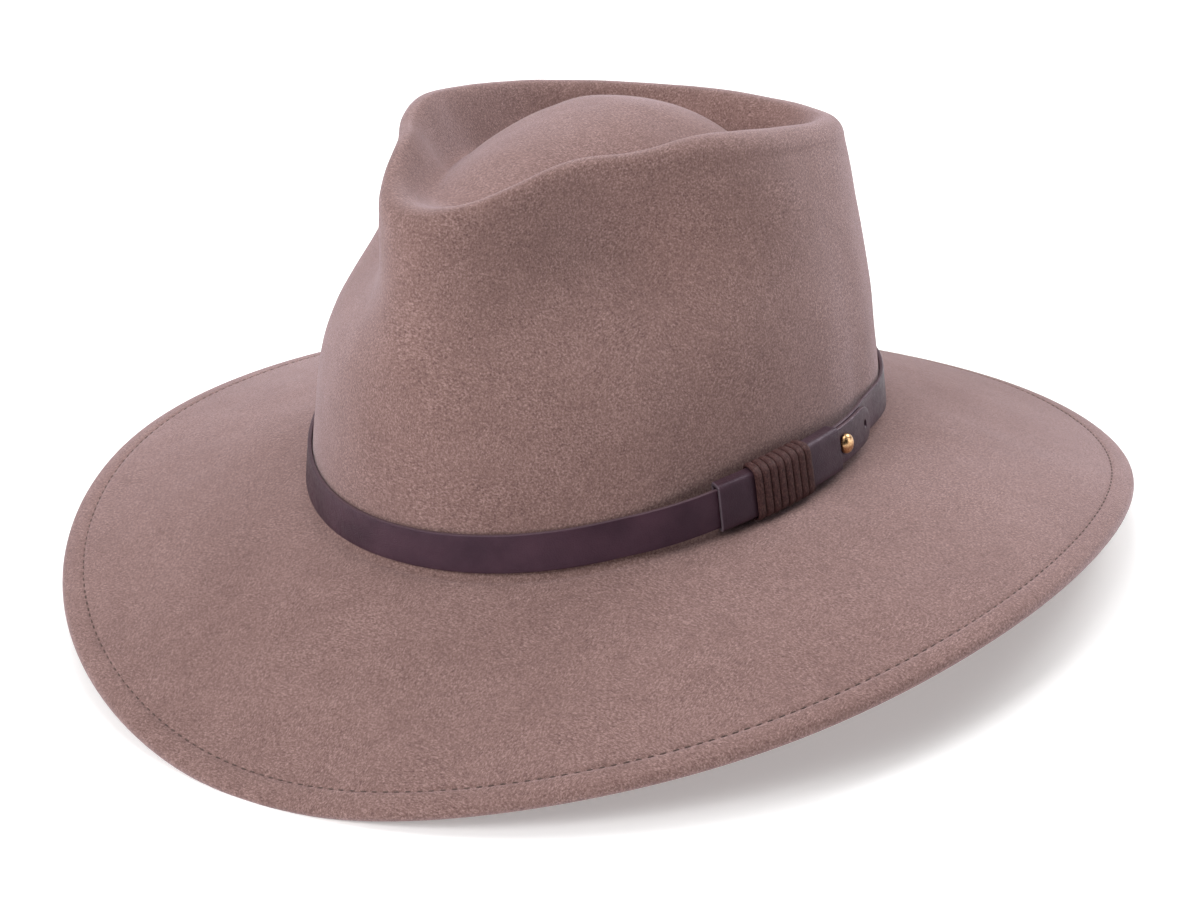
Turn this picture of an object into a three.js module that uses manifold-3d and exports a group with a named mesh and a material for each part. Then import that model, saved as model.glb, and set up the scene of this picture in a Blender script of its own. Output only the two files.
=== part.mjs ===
// Wool felt hat with a teardrop crown, a drooping brim and a leather band.
// Millimetres, +Z up, front towards -Y, the wearer's left towards +X.
// Bearings are degrees round the crown: 0 front, 90 wearer's left, 180 back.

import * as THREE from "three";
import { mergeVertices } from "three/addons/utils/BufferGeometryUtils.js";
import Module from "manifold-3d";

// Felt
const FELT = 2.4;
const HEAD_LENGTH = 201.8;
const HEAD_WIDTH = 168;
const OVAL_POWER = 2.05;

// Brim
const BRIM_WIDTH = 81.5;
const BRIM_DROP = 35.6;
const BRIM_CURVE = 1.07;
const BREAK_RADIUS = 3;
const BREAK_SIDE_RISE = 6.1;
const WELT_WIDTH = 7.5;
const WELT_THICKNESS = 4.4;
const REST_FLAT = 1.5;

// Crown
const CROWN_HEIGHT = 112;
const SHOULDER_RADIUS = 7.5;
const WALL_STRAIGHT_SHARE = 0.45;
const WALL_LEAN_POWER = 2.7;
const CHANNEL_DEPTH = 19;
const CHANNEL_PLACE = 0.8;
const DOME_DROP = 2;
const DOME_SET_BACK = 9.5;
const DOME_FULLNESS = 2.4;
const DOME_FOOT = 1.2;
const PINCH_DEPTH = 17.5;
const PINCH_BEARING = 47;
const PINCH_SPREAD_DEGREES = 28;
const PINCH_CREST_DEGREES = 11.5;
const PINCH_LEVEL = 0.785;
const PINCH_REACH = 0.19;
const PINCH_START_POWER = 1.5;

// Leather band and what fastens it, on the wearer's left
const CLEARANCE = 0.25;
const STRAP_THICKNESS = 1.4;
const STRAP_HEIGHT = 11.6;
const STRAP_LIFT = 2.8;
const STRAP_BEVEL = 0.3;
const STRAP_INNER_BEARING = 60.5;
const STRAP_TIP_BEARING = 110;
const STRAP_TIP_LENGTH = 6.5;
const STRAP_RISE_DEGREES = 20;
const STRAP_SETTLE_DEGREES = 34;
const FASTENING_DENT = 2.8;
const DENT_FADE_DEGREES = 16;
const KEEPER_START_BEARING = 57.5;
const KEEPER_END_BEARING = 91.5;
const KEEPER_WALL = 1;
const KEEPER_CORNER = 0.5;
const THONG_START_BEARING = 65.6;
const THONG_END_BEARING = 81;
const THONG_TURNS = 8;
const THONG_WIDTH = 2.6;
const THONG_THICKNESS = 1;
const STUD_BEARING = 94.5;
const STUD_HEAD_RADIUS = 3.1;
const STUD_HEAD_HEIGHT = 2.3;
const STUD_NECK_RADIUS = 1.2;
const STUD_BASE_RADIUS = 2.8;
const STUD_BASE_THICKNESS = 0.8;
const STUD_HOLE_PLAY = 0.3;
const SPARE_HOLE_BEARING = 106.5;
const SPARE_HOLE_RADIUS = 1.1;

// Shape round half of the hat, a row for each 22.5 degrees from front to back.
// breakRise  height of the brim break, share of BREAK_SIDE_RISE
// edgeDrop   brim edge under the front of the break, share of BRIM_DROP
// brimReach  brim width, share of BRIM_WIDTH
// ridgeReach radius of the crown's ridge, share of the head oval's radius
// ridgeRise  ridge over the break, share of CROWN_HEIGHT
// channel    channel floor under the ridge, share of CHANNEL_DEPTH
const SECTIONS = [
  { breakRise: 0.0, edgeDrop: 1.0, brimReach: 0.972, ridgeReach: 0.79, ridgeRise: 0.936, channel: 0.28 },
  { breakRise: 0.16, edgeDrop: 0.806, brimReach: 0.979, ridgeReach: 0.638, ridgeRise: 0.981, channel: 0.56 },
  { breakRise: 0.62, edgeDrop: 0.522, brimReach: 1.007, ridgeReach: 0.564, ridgeRise: 0.971, channel: 0.82 },
  { breakRise: 1.0, edgeDrop: 0.284, brimReach: 1.021, ridgeReach: 0.59, ridgeRise: 0.951, channel: 1.0 },
  { breakRise: 1.0, edgeDrop: 0.261, brimReach: 0.991, ridgeReach: 0.644, ridgeRise: 0.936, channel: 1.04 },
  { breakRise: 0.74, edgeDrop: 0.421, brimReach: 0.984, ridgeReach: 0.709, ridgeRise: 0.907, channel: 1.0 },
  { breakRise: 0.43, edgeDrop: 0.688, brimReach: 0.996, ridgeReach: 0.813, ridgeRise: 0.864, channel: 0.87 },
  { breakRise: 0.13, edgeDrop: 0.9, brimReach: 0.999, ridgeReach: 0.829, ridgeRise: 0.84, channel: 0.78 },
  { breakRise: 0.0, edgeDrop: 1.0, brimReach: 1.013, ridgeReach: 0.795, ridgeRise: 0.843, channel: 0.735 },
];

// Fineness of the faceted solids
const BEARINGS = 64;
const DOME_STEPS = 4;
const CHANNEL_STEPS = 3;
const SHOULDER_STEPS = 3;
const WALL_STEPS = 8;
const BREAK_STEPS = 2;
const BRIM_STEPS = 4;
const NOSE_STEPS = 5;
const WELT_STEPS = 2;
const STRAP_STEP_DEGREES = 5;
const TIP_STEPS = 5;
const KEEPER_STEPS = 10;
const CORNER_STEPS = 2;
const THONG_STEPS_PER_TURN = 4 * (CORNER_STEPS + 2);
const ROUND_STEPS = 16;
const STUD_DOME_STEPS = 4;

const radians = THREE.MathUtils.degToRad;
const degrees = THREE.MathUtils.radToDeg;
const lerp = THREE.MathUtils.lerp;
const smoothstep = THREE.MathUtils.smoothstep;

/** Numbers 1/count, 2/count ... 1. */
function shares(count) {
  return Array.from({ length: count }, (_, index) => (index + 1) / count);
}

/** Even cosine curve through one column of the table, as a function of the bearing. */
function through(column) {
  const values = SECTIONS.map((row) => row[column]);
  const last = values.length - 1;
  const weights = values.map((_, order) => {
    let sum = 0;
    values.forEach((value, index) => {
      const end = index === 0 || index === last;
      sum += (end ? 0.5 : 1) * value * Math.cos((Math.PI * index * order) / last);
    });
    const ends = order === 0 || order === last;
    return ((ends ? 1 : 2) * sum) / last;
  });
  return (bearing) => {
    let total = 0;
    weights.forEach((weight, order) => {
      total += weight * Math.cos(order * radians(bearing));
    });
    return total;
  };
}

const breakRise = through("breakRise");
const edgeDrop = through("edgeDrop");
const brimReach = through("brimReach");
const ridgeReach = through("ridgeReach");
const ridgeRise = through("ridgeRise");
const channelShare = through("channel");

// Felt surface, the outer skin of the crown and the upper skin of the brim

function ovalRadius(bearing) {
  const along = Math.abs(Math.cos(radians(bearing))) / (HEAD_LENGTH / 2);
  const across = Math.abs(Math.sin(radians(bearing))) / (HEAD_WIDTH / 2);
  return (along ** OVAL_POWER + across ** OVAL_POWER) ** (-1 / OVAL_POWER);
}

/** 1 from start to end, fading to 0 over a span on either side. */
function plateau(bearing, start, end, span) {
  const rising = smoothstep(bearing, start - span, start);
  const falling = smoothstep(bearing, end, end + span);
  return rising * (1 - falling);
}

/** The felt is pressed in behind the fastening. */
function breakRadius(bearing) {
  const dent = FASTENING_DENT * plateau(bearing, KEEPER_START_BEARING, STRAP_TIP_BEARING, DENT_FADE_DEGREES);
  return ovalRadius(bearing) - dent;
}

function breakHeight(bearing) {
  return BREAK_SIDE_RISE * breakRise(bearing);
}

function edgeRadius(bearing) {
  return ovalRadius(bearing) + BRIM_WIDTH * brimReach(bearing);
}

function ridgeRadius(bearing) {
  return ovalRadius(bearing) * ridgeReach(bearing);
}

function ridgeHeight(bearing) {
  return breakHeight(bearing) + CROWN_HEIGHT * ridgeRise(bearing);
}

function place(bearing, radius, height, back = 0) {
  const turn = radians(bearing);
  return new THREE.Vector3(radius * Math.sin(turn), back - radius * Math.cos(turn), height);
}

/** Inside the ridge, the crown's middle is set back from the middle of the head oval. */
function placeInside(bearing, radius, height) {
  const back = DOME_SET_BACK * (1 - radius / ridgeRadius(bearing));
  return place(bearing, radius, height, back);
}

function channelFloor(bearing) {
  return ridgeHeight(bearing) - CHANNEL_DEPTH * channelShare(bearing);
}

function domePoint(bearing, share) {
  const radius = share * CHANNEL_PLACE * ridgeRadius(bearing);
  const rise = (1 - share ** DOME_FULLNESS) ** DOME_FOOT;
  const height = lerp(channelFloor(bearing), CROWN_HEIGHT - DOME_DROP, rise);
  return placeInside(bearing, radius, height);
}

function channelPoint(bearing, share) {
  const radius = ridgeRadius(bearing) * lerp(CHANNEL_PLACE, 1, share);
  const rise = 0.5 - 0.5 * Math.cos(Math.PI * share);
  return placeInside(bearing, radius, lerp(channelFloor(bearing), ridgeHeight(bearing), rise));
}

function shoulderPoint(bearing, share) {
  const turn = (share * Math.PI) / 2;
  const begun = 1 - Math.max(Math.cos(turn), 0) ** PINCH_START_POWER;
  const radius = ridgeRadius(bearing) + SHOULDER_RADIUS * Math.sin(turn) - begun * dentDepth(bearing, 1);
  return place(bearing, radius, ridgeHeight(bearing) - SHOULDER_RADIUS * (1 - Math.cos(turn)));
}

/** Wall at a share of its height, from the break's rounding up to the shoulder. */
function wallPoint(bearing, share) {
  const low = breakHeight(bearing) + BREAK_RADIUS;
  const high = ridgeHeight(bearing) - SHOULDER_RADIUS;
  return place(bearing, wallRadius(bearing, share), lerp(low, high, share));
}

function wallRadius(bearing, share) {
  const lean = WALL_STRAIGHT_SHARE * share + (1 - WALL_STRAIGHT_SHARE) * share ** WALL_LEAN_POWER;
  const straight = lerp(breakRadius(bearing), ridgeRadius(bearing) + SHOULDER_RADIUS, lean);
  return straight - dentDepth(bearing, share);
}

/** Depth of the dents at either side of the front, at a share of the wall's height. */
function dentDepth(bearing, share) {
  const fromFront = degrees(Math.acos(Math.cos(radians(bearing))));
  const side = Math.hypot(fromFront, PINCH_CREST_DEGREES);
  const across = Math.exp(-(((side - PINCH_BEARING) / PINCH_SPREAD_DEGREES) ** 2));
  const up = Math.exp(-(((share - PINCH_LEVEL) / PINCH_REACH) ** 2));
  return PINCH_DEPTH * across * up;
}

function breakPoint(bearing, share) {
  const turn = (share * Math.PI) / 2;
  const radius = breakRadius(bearing) + BREAK_RADIUS * (1 - Math.cos(turn));
  return place(bearing, radius, breakHeight(bearing) + BREAK_RADIUS * (1 - Math.sin(turn)));
}

/** Brim at a share of its width, from the break's rounding out to the edge. */
function brimPoint(bearing, share) {
  const radius = lerp(breakRadius(bearing) + BREAK_RADIUS, edgeRadius(bearing), share);
  const edge = -BRIM_DROP * edgeDrop(bearing);
  return place(bearing, radius, lerp(breakHeight(bearing), edge, share ** BRIM_CURVE));
}

function brimShareFromEdge(bearing, distance) {
  return 1 - distance / (edgeRadius(bearing) - breakRadius(bearing) - BREAK_RADIUS);
}

/** Outer skin in rings, from round the middle of the dome to the start of the rounded edge. */
function outerRings() {
  const welt = (bearing) => brimShareFromEdge(bearing, WELT_WIDTH);
  const nose = (bearing) => brimShareFromEdge(bearing, WELT_THICKNESS / 2);
  const onWelt = (bearing, share) => brimPoint(bearing, lerp(welt(bearing), nose(bearing), share));
  const stations = [
    ...shares(DOME_STEPS).map((share) => (bearing) => domePoint(bearing, share)),
    ...shares(CHANNEL_STEPS).map((share) => (bearing) => channelPoint(bearing, share)),
    ...shares(SHOULDER_STEPS).map((share) => (bearing) => shoulderPoint(bearing, share)),
    ...shares(WALL_STEPS).map((share) => (bearing) => wallPoint(bearing, 1 - share)),
    ...shares(BREAK_STEPS).map((share) => (bearing) => breakPoint(bearing, share)),
    ...shares(BRIM_STEPS).map((share) => (bearing) => brimPoint(bearing, share * welt(bearing))),
    ...shares(WELT_STEPS).map((share) => (bearing) => onWelt(bearing, share)),
  ];
  const bearings = Array.from({ length: BEARINGS }, (_, index) => (360 * index) / BEARINGS);
  return stations.map((station) => bearings.map(station));
}

/** Unit directions along the skin towards the edge, and out of the felt. */
function skinDirections(rings) {
  const last = rings.length - 1;
  return rings.map((ring, row) =>
    ring.map((_, column) => {
      const before = rings[Math.max(row - 1, 0)][column];
      const after = rings[Math.min(row + 1, last)][column];
      const left = ring[(column + BEARINGS - 1) % BEARINGS];
      const right = ring[(column + 1) % BEARINGS];
      const along = after.clone().sub(before).normalize();
      const out = along.clone().cross(right.clone().sub(left)).normalize();
      return { along, out };
    })
  );
}

/** Crown and brim as one felt wall: outer skin, rounded edge, turned-under welt, inner skin. */
function feltBody() {
  const outer = outerRings();
  const directions = skinDirections(outer);
  const sunk = (row, depth) =>
    outer[row].map((point, column) => point.clone().addScaledVector(directions[row][column].out, -depth));
  const edge = outer.length - 1;
  const weltStart = edge - WELT_STEPS;
  const round = WELT_THICKNESS / 2;
  const nose = shares(NOSE_STEPS).slice(0, -1).map((share) =>
    outer[edge].map((point, column) => {
      const { along, out } = directions[edge][column];
      const turn = share * Math.PI;
      return point
        .clone()
        .addScaledVector(out, round * (Math.cos(turn) - 1))
        .addScaledVector(along, round * Math.sin(turn));
    })
  );
  const under = [];
  for (let row = edge; row >= weltStart; row -= 1) {
    under.push(sunk(row, WELT_THICKNESS));
  }
  for (let row = weltStart; row >= 0; row -= 1) {
    under.push(sunk(row, FELT));
  }
  const top = new THREE.Vector3(0, DOME_SET_BACK, CROWN_HEIGHT - DOME_DROP);
  const topUnder = top.clone().setZ(top.z - FELT);
  const rings = [[top], ...outer, ...nose, ...under, [topUnder]];
  const lowest = Math.min(...rings.flat().map((point) => point.z));
  const floor = lowest + REST_FLAT;
  rings.flat().forEach((point) => point.setZ(Math.max(point.z, floor)));
  return { geometry: closedFromRings(rings), floor };
}

// Meshes

function geometryFrom(points, triangles) {
  const geometry = new THREE.BufferGeometry();
  const positions = points.flatMap((point) => [point.x, point.y, point.z]);
  geometry.setAttribute("position", new THREE.Float32BufferAttribute(positions, 3));
  geometry.setIndex(triangles.flat());
  return geometry;
}

/** Closed skin through rings of equal length, with a single point at either end. */
function closedFromRings(rings) {
  const points = rings.flat();
  const triangles = [];
  let start = 0;
  for (let row = 0; row < rings.length - 1; row += 1) {
    const next = start + rings[row].length;
    const count = Math.max(rings[row].length, rings[row + 1].length);
    for (let column = 0; column < count; column += 1) {
      const beside = (column + 1) % count;
      if (rings[row].length > 1) {
        const far = rings[row + 1].length > 1 ? next + beside : next;
        triangles.push([start + column, far, start + beside]);
      }
      if (rings[row + 1].length > 1) {
        const near = rings[row].length > 1 ? start + column : start;
        triangles.push([near, next + column, next + beside]);
      }
    }
    start = next;
  }
  return geometryFrom(points, triangles);
}

/** Closed sweep through equal loops of points, whose ends are closed flat. */
function sweep(loops) {
  const size = loops[0].length;
  const points = loops.flat();
  const triangles = [];
  for (let row = 0; row < loops.length - 1; row += 1) {
    for (let column = 0; column < size; column += 1) {
      const near = row * size + column;
      const beside = row * size + ((column + 1) % size);
      triangles.push([near, near + size, beside + size], [near, beside + size, beside]);
    }
  }
  const end = (loops.length - 1) * size;
  for (let column = 1; column < size - 1; column += 1) {
    triangles.push([0, column, column + 1], [end, end + column + 1, end + column]);
  }
  return geometryFrom(points, triangles);
}

/** Closed sleeve between equal outer and inner loops, with a flat rim at either end. */
function sleeve(outerLoops, innerLoops) {
  const size = outerLoops[0].length;
  const rings = [...outerLoops, ...innerLoops.slice().reverse()];
  const triangles = [];
  for (let row = 0; row < rings.length; row += 1) {
    const nextRow = (row + 1) % rings.length;
    for (let column = 0; column < size; column += 1) {
      const beside = (column + 1) % size;
      const near = row * size;
      const next = nextRow * size;
      triangles.push([near + column, next + column, next + beside]);
      triangles.push([near + column, next + beside, near + beside]);
    }
  }
  return geometryFrom(rings.flat(), triangles);
}

// Leather band

/** Radius of the crown's outside at a height over the break, straight down past the break's rounding. */
function bandRadius(bearing, height) {
  const high = ridgeHeight(bearing) - SHOULDER_RADIUS - breakHeight(bearing);
  const share = (height - BREAK_RADIUS) / (high - BREAK_RADIUS);
  return wallRadius(bearing, Math.max(share, 0));
}

/** A point beside the crown, by its distance off the felt and its height over the break. */
function bandPoint(bearing, off, height) {
  return place(bearing, bandRadius(bearing, height) + off, breakHeight(bearing) + height);
}

const STRAP_MIDDLE = STRAP_LIFT + STRAP_HEIGHT / 2;
const LAYER_PITCH = STRAP_THICKNESS + CLEARANCE;
const STAND_OFF = THONG_THICKNESS + KEEPER_WALL + 2 * CLEARANCE;

/** Distance of the strap's inner layer off the felt; the keeper and the windings pass behind it. */
function innerLayerOff(bearing) {
  const settling = smoothstep(bearing, KEEPER_END_BEARING, KEEPER_END_BEARING + STRAP_SETTLE_DEGREES);
  return CLEARANCE + STAND_OFF * (1 - settling);
}

/** Distance of the strap off the felt, along its whole path from the inner end to the tip. */
function strapOff(path) {
  if (path < 360) {
    return path < KEEPER_END_BEARING + STRAP_SETTLE_DEGREES ? innerLayerOff(path) : CLEARANCE;
  }
  const bearing = path - 360;
  const rising = smoothstep(bearing, KEEPER_START_BEARING - STRAP_RISE_DEGREES, KEEPER_START_BEARING);
  const outerLayer = innerLayerOff(Math.max(bearing, KEEPER_START_BEARING)) + LAYER_PITCH;
  return lerp(CLEARANCE, outerLayer, rising);
}

/** Bevelled strap section at a place on its path, with its half height. */
function strapLoop(path, halfHeight) {
  const off = strapOff(path);
  const far = off + STRAP_THICKNESS;
  const bevel = Math.min(STRAP_BEVEL, halfHeight / 2);
  const low = STRAP_MIDDLE - halfHeight;
  const high = STRAP_MIDDLE + halfHeight;
  const outline = [
    [off, low + bevel],
    [off + STRAP_BEVEL, low],
    [far - STRAP_BEVEL, low],
    [far, low + bevel],
    [far, high - bevel],
    [far - STRAP_BEVEL, high],
    [off + STRAP_BEVEL, high],
    [off, high - bevel],
  ];
  return outline.map(([distance, height]) => bandPoint(path % 360, distance, height));
}

function arcDegrees(length, bearing) {
  return degrees(length / bandRadius(bearing, STRAP_MIDDLE));
}

/** One strap round the crown, which passes over its own inner end and stops at a rounded tip. */
function bandStrap(wasm) {
  const tip = 360 + STRAP_TIP_BEARING;
  const tipStart = tip - arcDegrees(STRAP_TIP_LENGTH, STRAP_TIP_BEARING);
  const count = Math.ceil((tipStart - STRAP_INNER_BEARING) / STRAP_STEP_DEGREES);
  const full = STRAP_HEIGHT / 2;
  const loops = [strapLoop(STRAP_INNER_BEARING, full)];
  shares(count).forEach((share) => {
    loops.push(strapLoop(lerp(STRAP_INNER_BEARING, tipStart, share), full));
  });
  shares(TIP_STEPS).forEach((share) => {
    const turn = share * (Math.PI / 2) * 0.95;
    loops.push(strapLoop(lerp(tipStart, tip, Math.sin(turn)), full * Math.cos(turn)));
  });
  const innerOff = innerLayerOff(STUD_BEARING);
  const studHole = bore(STUD_BEARING, STUD_NECK_RADIUS + STUD_HOLE_PLAY, innerOff, innerOff + 2 * LAYER_PITCH);
  const spareOff = innerLayerOff(SPARE_HOLE_BEARING) + LAYER_PITCH;
  const spareHole = bore(SPARE_HOLE_BEARING, SPARE_HOLE_RADIUS, spareOff, spareOff + STRAP_THICKNESS);
  const cuts = [studHole, spareHole].map((hole) => toSolid(wasm, hole));
  return fromSolid(cuts.reduce((strap, cut) => strap.subtract(cut), toSolid(wasm, sweep(loops))));
}

/** Turns and moves a piece made about the Y axis, so that Y points out of the strap there. */
function seatOnStrap(geometry, bearing, off) {
  const centre = bandPoint(bearing, off, STRAP_MIDDLE);
  const around = bandPoint(bearing + 1, off, STRAP_MIDDLE).sub(centre);
  const up = bandPoint(bearing, off, STRAP_MIDDLE + 1).sub(centre);
  const out = around.cross(up).normalize();
  const turn = new THREE.Quaternion().setFromUnitVectors(new THREE.Vector3(0, 1, 0), out);
  return geometry.applyQuaternion(turn).translate(centre.x, centre.y, centre.z);
}

/** Round cutter through the strap from one distance off the felt to another. */
function bore(bearing, radius, start, end) {
  const length = end - start + CLEARANCE;
  const cylinder = new THREE.CylinderGeometry(radius, radius, length, ROUND_STEPS);
  return seatOnStrap(cylinder, bearing, (start + end) / 2);
}

/** Rounded rectangle round both strap layers, grown by a wall. */
function fasteningLoop(bearing, grow) {
  const room = CLEARANCE + grow;
  const off = innerLayerOff(bearing) - room;
  const far = innerLayerOff(bearing) + LAYER_PITCH + STRAP_THICKNESS + room;
  const low = STRAP_LIFT - room;
  const high = STRAP_LIFT + STRAP_HEIGHT + room;
  const radius = KEEPER_CORNER + grow;
  const corners = [
    [off + radius, low + radius, 180],
    [far - radius, low + radius, 270],
    [far - radius, high - radius, 0],
    [off + radius, high - radius, 90],
  ];
  return corners.flatMap(([distance, height, start]) =>
    [0, ...shares(CORNER_STEPS)].map((share) => {
      const turn = radians(start + 90 * share);
      return { off: distance + radius * Math.cos(turn), height: height + radius * Math.sin(turn) };
    })
  );
}

/** Leather sleeve round both layers of the strap. */
function keeper() {
  const loop = (bearing, grow) =>
    fasteningLoop(bearing, grow).map(({ off, height }) => bandPoint(bearing, off, height));
  const bearings = [0, ...shares(KEEPER_STEPS)].map((share) =>
    lerp(KEEPER_START_BEARING, KEEPER_END_BEARING, share)
  );
  const outer = bearings.map((bearing) => loop(bearing, KEEPER_WALL));
  const inner = bearings.map((bearing) => loop(bearing, 0));
  return sleeve(outer, inner);
}

/** Leather thong wound side by side round the keeper. */
function thongWrap() {
  const inside = KEEPER_WALL + CLEARANCE;
  const count = THONG_TURNS * THONG_STEPS_PER_TURN;
  const loops = [0, ...shares(count)].map((share) => {
    const bearing = lerp(THONG_START_BEARING, THONG_END_BEARING, share);
    const step = Math.round(share * count) % THONG_STEPS_PER_TURN;
    const half = arcDegrees(THONG_WIDTH, bearing) / 2;
    const at = (sideways, depth) => {
      const place = bearing + sideways * half;
      const { off, height } = windingPoint(place, inside + depth * THONG_THICKNESS, step);
      return bandPoint(place, off, height);
    };
    return [at(-1, 0.5), at(-0.7, 0), at(0.7, 0), at(1, 0.5), at(0.7, 1), at(-0.7, 1)];
  });
  return sweep(loops);
}

/** One of the even steps of a winding round the fastening: three at each corner, one on each side. */
function windingPoint(bearing, grow, step) {
  const corners = fasteningLoop(bearing, grow);
  const size = corners.length / 4;
  const side = Math.floor(step / (size + 1));
  const within = step % (size + 1);
  const corner = corners[side * size + Math.min(within, size - 1)];
  if (within < size) {
    return corner;
  }
  const next = corners[((side + 1) % 4) * size];
  return { off: (corner.off + next.off) / 2, height: (corner.height + next.height) / 2 };
}

/** Brass stud: a base behind the strap, a neck through both layers and a domed head. */
function stud() {
  const start = innerLayerOff(STUD_BEARING);
  const seat = LAYER_PITCH + STRAP_THICKNESS + CLEARANCE;
  const profile = [
    [0, -CLEARANCE - STUD_BASE_THICKNESS],
    [STUD_BASE_RADIUS, -CLEARANCE - STUD_BASE_THICKNESS],
    [STUD_BASE_RADIUS, -CLEARANCE],
    [STUD_NECK_RADIUS, -CLEARANCE],
    [STUD_NECK_RADIUS, seat],
    [STUD_HEAD_RADIUS, seat],
    ...shares(STUD_DOME_STEPS).slice(0, -1).map((share) => {
      const turn = (share * Math.PI) / 2;
      return [STUD_HEAD_RADIUS * Math.cos(turn), seat + STUD_HEAD_HEIGHT * Math.sin(turn)];
    }),
    [0, seat + STUD_HEAD_HEIGHT],
  ];
  const outline = profile.map(([radius, height]) => new THREE.Vector2(radius, height));
  return seatOnStrap(new THREE.LatheGeometry(outline, ROUND_STEPS), STUD_BEARING, start);
}

// Solids for the booleans

function toSolid(wasm, geometry) {
  const bare = geometry.clone();
  bare.deleteAttribute("normal");
  bare.deleteAttribute("uv");
  const merged = mergeVertices(bare, 1e-4);
  const triangles = Uint32Array.from(merged.getIndex().array);
  return new wasm.Manifold(
    new wasm.Mesh({ numProp: 3, vertProperties: merged.getAttribute("position").array, triVerts: triangles })
  );
}

function fromSolid(solid) {
  const mesh = solid.getMesh();
  const geometry = new THREE.BufferGeometry();
  geometry.setAttribute("position", new THREE.BufferAttribute(Float32Array.from(mesh.vertProperties), 3));
  geometry.setIndex(Array.from(mesh.triVerts));
  return geometry;
}

// Scene

const feltMaterial = new THREE.MeshStandardMaterial({ color: 0x7d6660, roughness: 0.95, metalness: 0 });
const strapMaterial = new THREE.MeshStandardMaterial({ color: 0x33262c, roughness: 0.55, metalness: 0 });
const thongMaterial = new THREE.MeshStandardMaterial({ color: 0x45322f, roughness: 0.75, metalness: 0 });
const brassMaterial = new THREE.MeshStandardMaterial({ color: 0xb08a55, roughness: 0.3, metalness: 1 });

function named(name, geometry, material) {
  const mesh = new THREE.Mesh(geometry, material);
  mesh.name = name;
  return mesh;
}

const wasm = await Module();
wasm.setup();

const felt = feltBody();
const hat = new THREE.Group();
hat.add(named("felt_body", felt.geometry, feltMaterial));
hat.add(named("band_strap", bandStrap(wasm), strapMaterial));
hat.add(named("keeper", keeper(), strapMaterial.clone()));
hat.add(named("thong_wrap", thongWrap(), thongMaterial));
hat.add(named("stud", stud(), brassMaterial));

// The hat stands on the floor with the middle of its length over the origin.
hat.position.set(0, (edgeRadius(0) - edgeRadius(180)) / 2, -felt.floor);

export default hat;
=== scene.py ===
"""Looks of the wool felt hat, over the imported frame. Shapes in millimetres, scene in metres.

+Z is up, the front points towards -Y and the wearer's left towards +X.
Bearings are degrees round the crown: 0 front, 90 wearer's left, 180 back.
"""

import math
import random

import bpy
import numpy as np
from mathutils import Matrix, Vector, noise


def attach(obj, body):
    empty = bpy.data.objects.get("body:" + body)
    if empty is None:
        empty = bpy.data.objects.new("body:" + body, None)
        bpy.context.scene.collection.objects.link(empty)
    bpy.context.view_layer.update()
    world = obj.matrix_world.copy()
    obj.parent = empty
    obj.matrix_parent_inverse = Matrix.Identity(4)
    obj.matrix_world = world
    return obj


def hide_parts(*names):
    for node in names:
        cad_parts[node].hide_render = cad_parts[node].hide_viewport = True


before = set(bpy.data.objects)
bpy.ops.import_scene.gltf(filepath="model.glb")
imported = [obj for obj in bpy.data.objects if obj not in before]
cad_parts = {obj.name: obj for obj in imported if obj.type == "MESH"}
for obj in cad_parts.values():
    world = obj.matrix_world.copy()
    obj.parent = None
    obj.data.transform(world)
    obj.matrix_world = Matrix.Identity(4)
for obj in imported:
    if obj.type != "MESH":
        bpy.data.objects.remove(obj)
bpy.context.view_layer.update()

MM = 0.001

# Felt
FELT = 2.4
HEAD_LENGTH = 201.8
HEAD_WIDTH = 168.0
OVAL_POWER = 2.05
FLOOR_LEVEL = -37.197

# Brim
BRIM_WIDTH = 81.5
BRIM_DROP = 35.6
BRIM_CURVE = 1.07
BREAK_RADIUS = 3.0
BREAK_SIDE_RISE = 6.1
WELT_WIDTH = 7.5
WELT_THICKNESS = 4.4
WELT_STEP = 0.6
WELT_SWELL = 0.25
WELT_SWELL_WIDTH = 2.2

# Crown
CROWN_HEIGHT = 112.0
SHOULDER_RADIUS = 7.5
WALL_STRAIGHT_SHARE = 0.45
WALL_LEAN_POWER = 2.7
CHANNEL_DEPTH = 19.0
CHANNEL_PLACE = 0.8
DOME_DROP = 2.0
DOME_SET_BACK = 9.5
DOME_FULLNESS = 2.4
DOME_FOOT = 1.2
PINCH_DEPTH = 17.5
PINCH_BEARING = 47.0
PINCH_SPREAD_DEGREES = 28.0
PINCH_CREST_DEGREES = 11.5
PINCH_LEVEL = 0.785
PINCH_REACH = 0.19
PINCH_START_POWER = 1.5

# Leather band and what fastens it
CLEARANCE = 0.25
STRAP_THICKNESS = 1.4
STRAP_HEIGHT = 11.6
STRAP_LIFT = 2.8
STRAP_EDGE_RADIUS = 0.45
STRAP_INNER_BEARING = 60.5
STRAP_TIP_BEARING = 110.0
STRAP_TIP_LENGTH = 6.5
STRAP_RISE_DEGREES = 20.0
STRAP_SETTLE_DEGREES = 34.0
FASTENING_DENT = 2.8
DENT_FADE_DEGREES = 16.0
KEEPER_START_BEARING = 57.5
KEEPER_END_BEARING = 91.5
KEEPER_WALL = 1.0
KEEPER_CORNER = 0.5
KEEPER_EDGE_RADIUS = 0.3
THONG_START_BEARING = 65.6
THONG_END_BEARING = 81.0
THONG_TURNS = 8
THONG_WIDTH = 2.62
THONG_SQUARENESS = 0.85
THONG_THICKNESS = 1.0
THONG_SLANT_DEGREES = 0.55
THONG_STEPS = 72
THONG_SIDES = 12
THONG_WIDTH_CHANGE = 0.05
THONG_LIFT_CHANGE = 0.12
STUD_BEARING = 94.5
STUD_HEAD_RADIUS = 3.1
STUD_HEAD_HEIGHT = 2.3
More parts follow.
